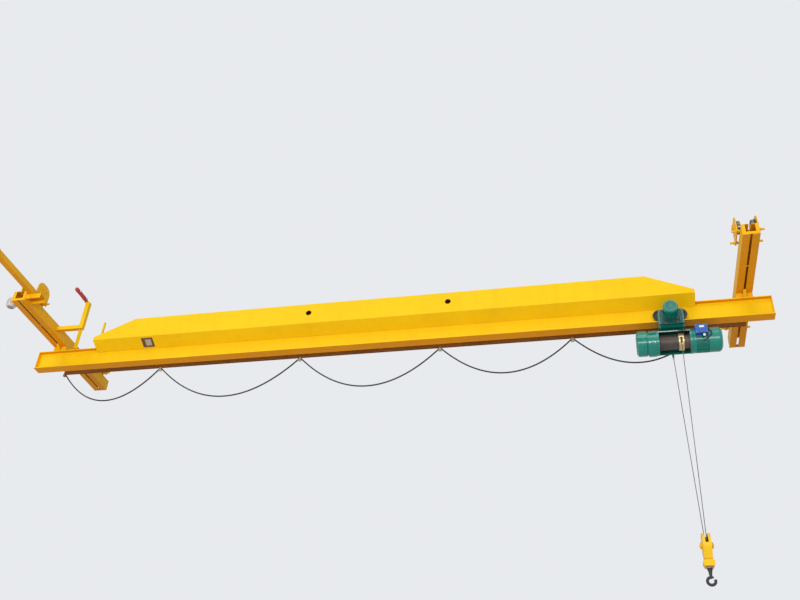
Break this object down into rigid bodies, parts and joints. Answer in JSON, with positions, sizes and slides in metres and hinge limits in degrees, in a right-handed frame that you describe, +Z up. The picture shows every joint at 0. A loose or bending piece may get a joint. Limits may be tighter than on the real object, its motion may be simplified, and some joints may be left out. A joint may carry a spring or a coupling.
{
  "type": "overhead bridge crane",
  "caption": "Under-running overhead bridge crane: a single box-topped girder on end carriages, with a travelling wire-rope hoist, hook block, festoon cable and current collector",
  "frame": {"origin": "middle of the left runway beam, at the height where the travel wheels roll on its bottom flange, half way between that carriage's two wheel yokes", "axes": "+X along the girder to the right runway, +Y away from the viewer along the runway, +Z up"},
  "size_m": [12.8, 4.202, 5.39],
  "materials": {
    "yellow_paint": "semi-gloss",
    "dark_steel": "worn",
    "teal_paint": "gloss",
    "zinc_steel": "dull",
    "grey_paint": "dull",
    "red_plastic": "matte",
    "brown_paint": "dull",
    "cable_rubber": "matte",
    "pale_metal": "dull",
    "blue_paint": "semi-gloss",
    "guide_brass": "dull",
    "drum_steel": "dull",
    "rope_steel": "greased"
  },
  "bodies": {
    "crane": {"beam_web_plate": "yellow_paint", "beam_top_flange": "yellow_paint", "beam_bottom_flange": "yellow_paint", "girder_box": "yellow_paint", "box_slants": "yellow_paint", "box_ends": "yellow_paint", "beam_ends": "yellow_paint", "hangers": "yellow_paint", "carriage_left": "yellow_paint", "carriage_right": "yellow_paint", "carriage_rims": "yellow_paint", "yoke_left_near": "yellow_paint", "yoke_left_far": "yellow_paint", "yoke_right_near": "yellow_paint", "yoke_right_far": "yellow_paint", "bar_bracket": "yellow_paint", "runway_bar": "yellow_paint", "collector_frame": "yellow_paint", "collector_far_post": "yellow_paint", "festoon_hangers": "yellow_paint", "travel_motor": "grey_paint", "collector_head": "red_plastic", "festoon_track": "brown_paint", "festoon_cable": "cable_rubber"},
    "wheel_left_near_a": {"wheel_left_near_a": "dark_steel"},
    "wheel_left_near_b": {"wheel_left_near_b": "dark_steel"},
    "wheel_left_far_a": {"wheel_left_far_a": "dark_steel"},
    "wheel_left_far_b": {"wheel_left_far_b": "dark_steel"},
    "wheel_right_near_a": {"wheel_right_near_a": "dark_steel"},
    "wheel_right_near_b": {"wheel_right_near_b": "dark_steel"},
    "wheel_right_far_a": {"wheel_right_far_a": "dark_steel"},
    "wheel_right_far_b": {"wheel_right_far_b": "dark_steel"},
    "trolley": {"trolley_near": "teal_paint", "trolley_far": "teal_paint", "trolley_base": "teal_paint", "trolley_gearcase": "teal_paint", "trolley_drive": "teal_paint", "hoist_shell": "teal_paint", "hoist_bar": "pale_metal", "hoist_gearbox": "teal_paint", "hoist_motor": "teal_paint", "control_box": "blue_paint", "rope_guide": "guide_brass", "tow_arm": "teal_paint", "rope_falls": "rope_steel"},
    "carrier_1": {"carrier_1": "zinc_steel"},
    "carrier_2": {"carrier_2": "zinc_steel"},
    "carrier_3": {"carrier_3": "zinc_steel"},
    "carrier_4": {"carrier_4": "zinc_steel"},
    "trolley_wheel_near_left": {"trolley_wheel_near_left": "dark_steel"},
    "trolley_wheel_near_right": {"trolley_wheel_near_right": "dark_steel"},
    "trolley_wheel_far_left": {"trolley_wheel_far_left": "dark_steel"},
    "trolley_wheel_far_right": {"trolley_wheel_far_right": "dark_steel"},
    "hook_block": {"hook_block": "yellow_paint"},
    "rope_drum": {"rope_drum": "drum_steel"},
    "sheave": {"sheave": "dark_steel"},
    "hook": {"hook": "dark_steel"},
    "hook_latch": {"hook_latch": "zinc_steel"}
  },
  "joints": [
    {"name": "wheel_left_near_a_spin", "type": "hinge", "parent": "crane", "child": "wheel_left_near_a", "pos_m": [0, -1.175, 0.105], "axis": [1, 0, 0], "continuous": true},
    {"name": "wheel_left_near_b_spin", "type": "hinge", "parent": "crane", "child": "wheel_left_near_b", "pos_m": [0, -1.175, 0.105], "axis": [1, 0, 0], "continuous": true},
    {"name": "wheel_left_far_a_spin", "type": "hinge", "parent": "crane", "child": "wheel_left_far_a", "pos_m": [0, 1.175, 0.105], "axis": [1, 0, 0], "continuous": true},
    {"name": "wheel_left_far_b_spin", "type": "hinge", "parent": "crane", "child": "wheel_left_far_b", "pos_m": [0, 1.175, 0.105], "axis": [1, 0, 0], "continuous": true},
    {"name": "wheel_right_near_a_spin", "type": "hinge", "parent": "crane", "child": "wheel_right_near_a", "pos_m": [12, -1.175, 0.105], "axis": [1, 0, 0], "continuous": true},
    {"name": "wheel_right_near_b_spin", "type": "hinge", "parent": "crane", "child": "wheel_right_near_b", "pos_m": [12, -1.175, 0.105], "axis": [1, 0, 0], "continuous": true},
    {"name": "wheel_right_far_a_spin", "type": "hinge", "parent": "crane", "child": "wheel_right_far_a", "pos_m": [12, 1.175, 0.105], "axis": [1, 0, 0], "continuous": true},
    {"name": "wheel_right_far_b_spin", "type": "hinge", "parent": "crane", "child": "wheel_right_far_b", "pos_m": [12, 1.175, 0.105], "axis": [1, 0, 0], "continuous": true},
    {"name": "trolley_travel", "type": "slide", "parent": "crane", "child": "trolley", "axis": [1, 0, 0], "range_m": [-9.65, 0], "deforming": ["festoon_cable"]},
    {"name": "carrier_1_slide", "type": "slide", "parent": "crane", "child": "carrier_1", "axis": [1, 0, 0], "range_m": [-1.6159, 0]},
    {"name": "carrier_2_slide", "type": "slide", "parent": "crane", "child": "carrier_2", "axis": [1, 0, 0], "range_m": [-3.8702, 0]},
    {"name": "carrier_3_slide", "type": "slide", "parent": "crane", "child": "carrier_3", "axis": [1, 0, 0], "range_m": [-5.9951, 0]},
    {"name": "carrier_4_slide", "type": "slide", "parent": "crane", "child": "carrier_4", "axis": [1, 0, 0], "range_m": [-7.8903, 0]},
    {"name": "trolley_wheel_near_left_spin", "type": "hinge", "parent": "trolley", "child": "trolley_wheel_near_left", "pos_m": [10.665, -0.08, -0.6637], "axis": [0, 1, 0], "continuous": true},
    {"name": "trolley_wheel_near_right_spin", "type": "hinge", "parent": "trolley", "child": "trolley_wheel_near_right", "pos_m": [10.985, -0.08, -0.6637], "axis": [0, 1, 0], "continuous": true},
    {"name": "trolley_wheel_far_left_spin", "type": "hinge", "parent": "trolley", "child": "trolley_wheel_far_left", "pos_m": [10.665, 0.08, -0.6637], "axis": [0, 1, 0], "continuous": true},
    {"name": "trolley_wheel_far_right_spin", "type": "hinge", "parent": "trolley", "child": "trolley_wheel_far_right", "pos_m": [10.985, 0.08, -0.6637], "axis": [0, 1, 0], "continuous": true},
    {"name": "hook_lift", "type": "slide", "parent": "trolley", "child": "hook_block", "axis": [0, 0, 1], "range_m": [-3.2, 2.8], "deforming": ["rope_falls"]},
    {"name": "drum_turn", "type": "hinge", "parent": "trolley", "child": "rope_drum", "pos_m": [10.897, 0, -1.12], "axis": [1, 0, 0], "continuous": true},
    {"name": "sheave_turn", "type": "hinge", "parent": "hook_block", "child": "sheave", "pos_m": [10.897, 0, -4.43], "axis": [1, 0, 0], "continuous": true},
    {"name": "hook_swivel", "type": "hinge", "parent": "hook_block", "child": "hook", "pos_m": [10.897, 0, -4.9205], "axis": [0, 0, 1], "continuous": true},
    {"name": "latch_pivot", "type": "hinge", "parent": "hook", "child": "hook_latch", "pos_m": [10.925, 0, -4.873], "axis": [0, 1, 0], "range_deg": [0, 38], "stiffness_Nm_per_rad": 0.2}
  ],
  "couplings": [
    {"joint": "carrier_1_slide", "follows": "trolley_travel", "ratio": 0.1674},
    {"joint": "carrier_2_slide", "follows": "trolley_travel", "ratio": 0.401},
    {"joint": "carrier_3_slide", "follows": "trolley_travel", "ratio": 0.6212},
    {"joint": "carrier_4_slide", "follows": "trolley_travel", "ratio": 0.8176},
    {"joint": "trolley_wheel_near_left_spin", "follows": "trolley_travel", "rad_per_m": 10.526},
    {"joint": "trolley_wheel_near_right_spin", "follows": "trolley_travel", "rad_per_m": 10.526},
    {"joint": "trolley_wheel_far_left_spin", "follows": "trolley_travel", "rad_per_m": 10.526},
    {"joint": "trolley_wheel_far_right_spin", "follows": "trolley_travel", "rad_per_m": 10.526},
    {"joint": "drum_turn", "follows": "hook_lift", "rad_per_m": -16.488},
    {"joint": "sheave_turn", "follows": "hook_lift", "rad_per_m": -8.244}
  ]
}
